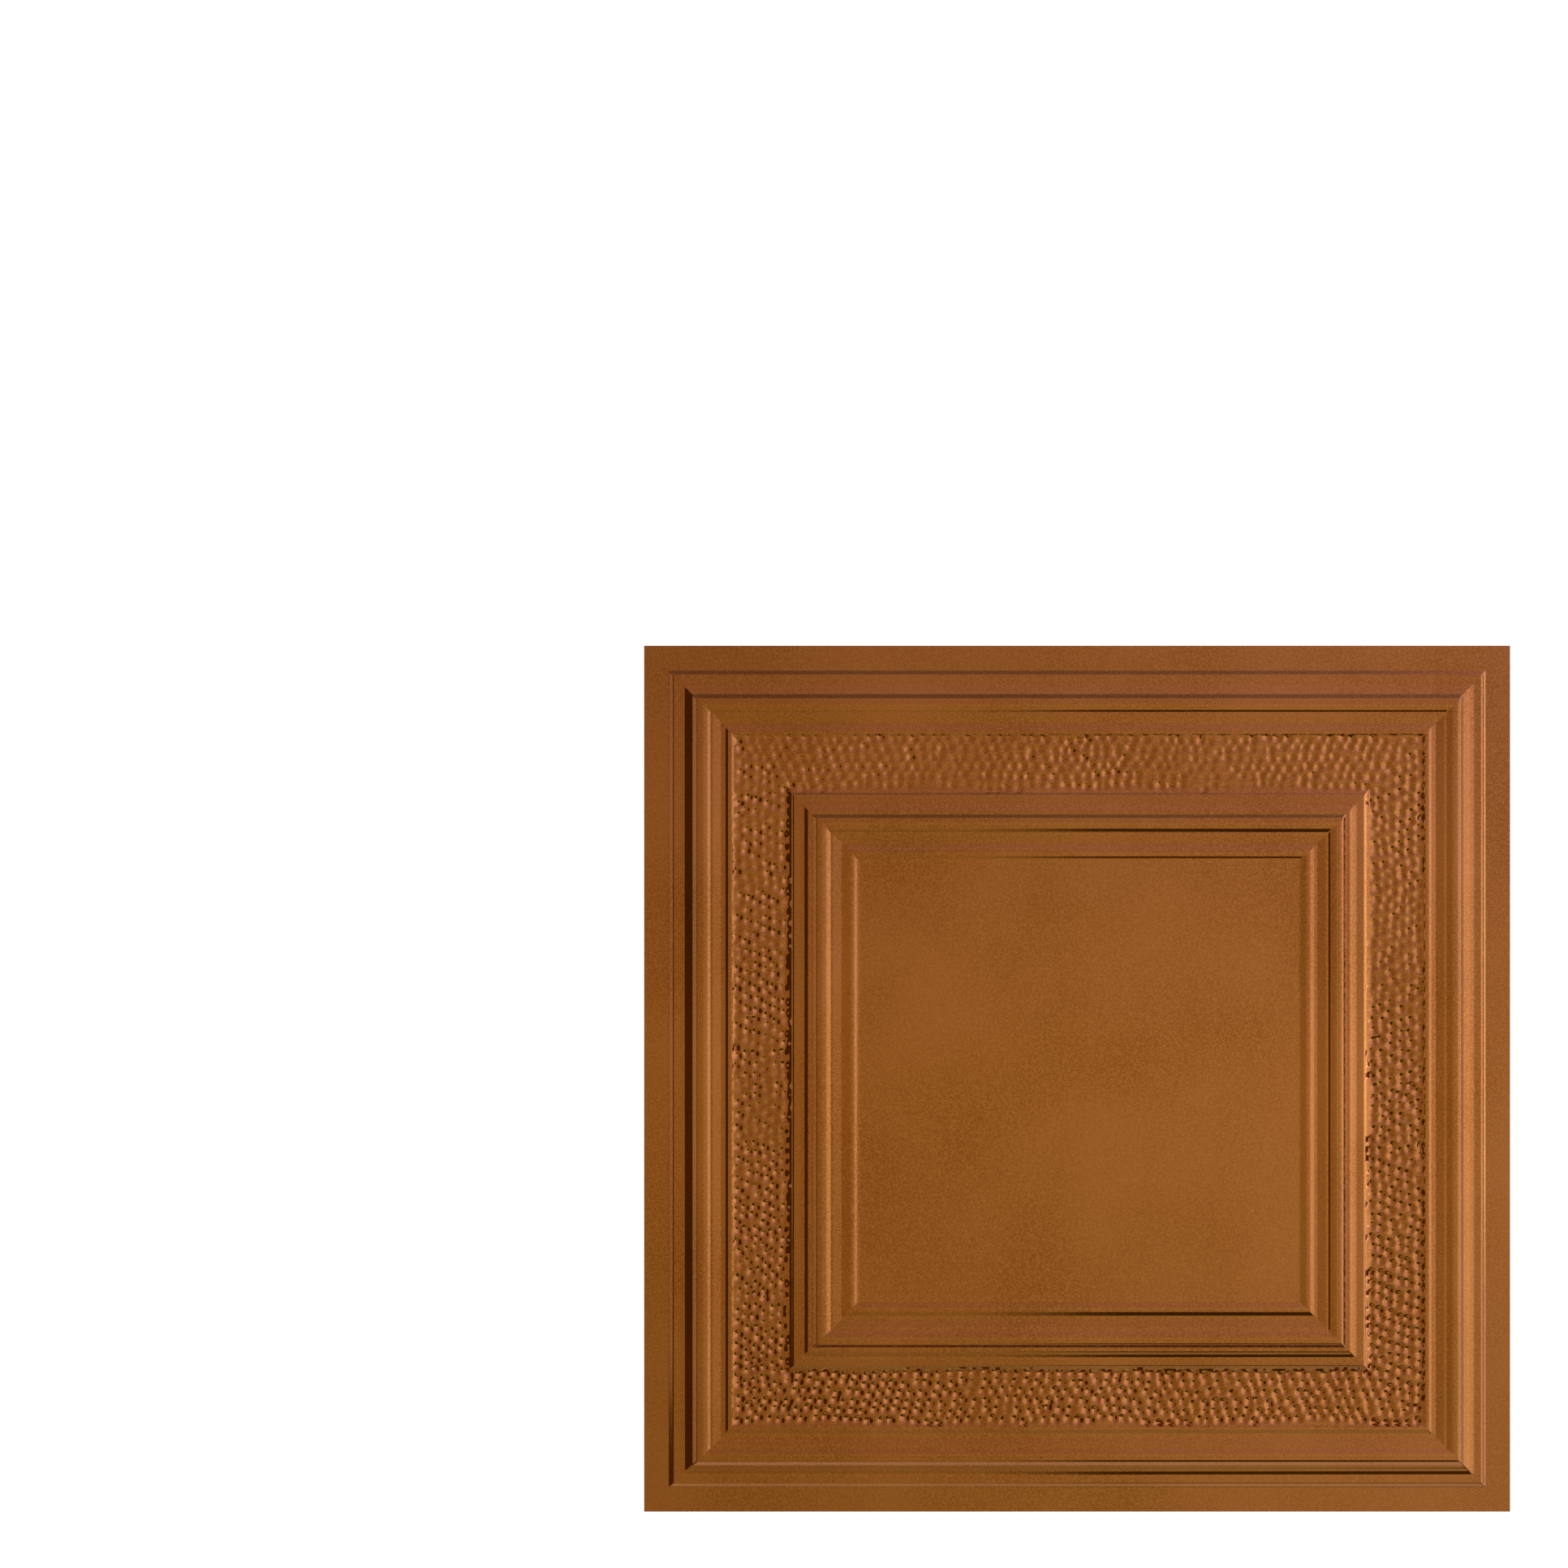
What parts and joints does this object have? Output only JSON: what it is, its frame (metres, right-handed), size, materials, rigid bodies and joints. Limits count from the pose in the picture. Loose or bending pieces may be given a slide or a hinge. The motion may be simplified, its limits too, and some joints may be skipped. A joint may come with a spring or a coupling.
{
  "type": "pressed tin ceiling tile",
  "caption": "Square pressed-metal ceiling tile with a flat flange, two mitred mouldings and a hammered band round a plain raised centre panel.",
  "frame": {"origin": "centre of the tile, on the plane of the flange's back face, which lies on the floor", "axes": "+Z out of the decorated face, upwards when the tile is stored lying flat; +X and +Y along the tile's sides"},
  "size_m": [0.6032, 0.6032, 0.0153],
  "materials": {
    "copper_finish": "satin antique copper coating with a fine speckle, baked on tin-plated steel sheet"
  },
  "bodies": {
    "root": {"pressed_sheet": "copper_finish"}
  },
  "joints": []
}
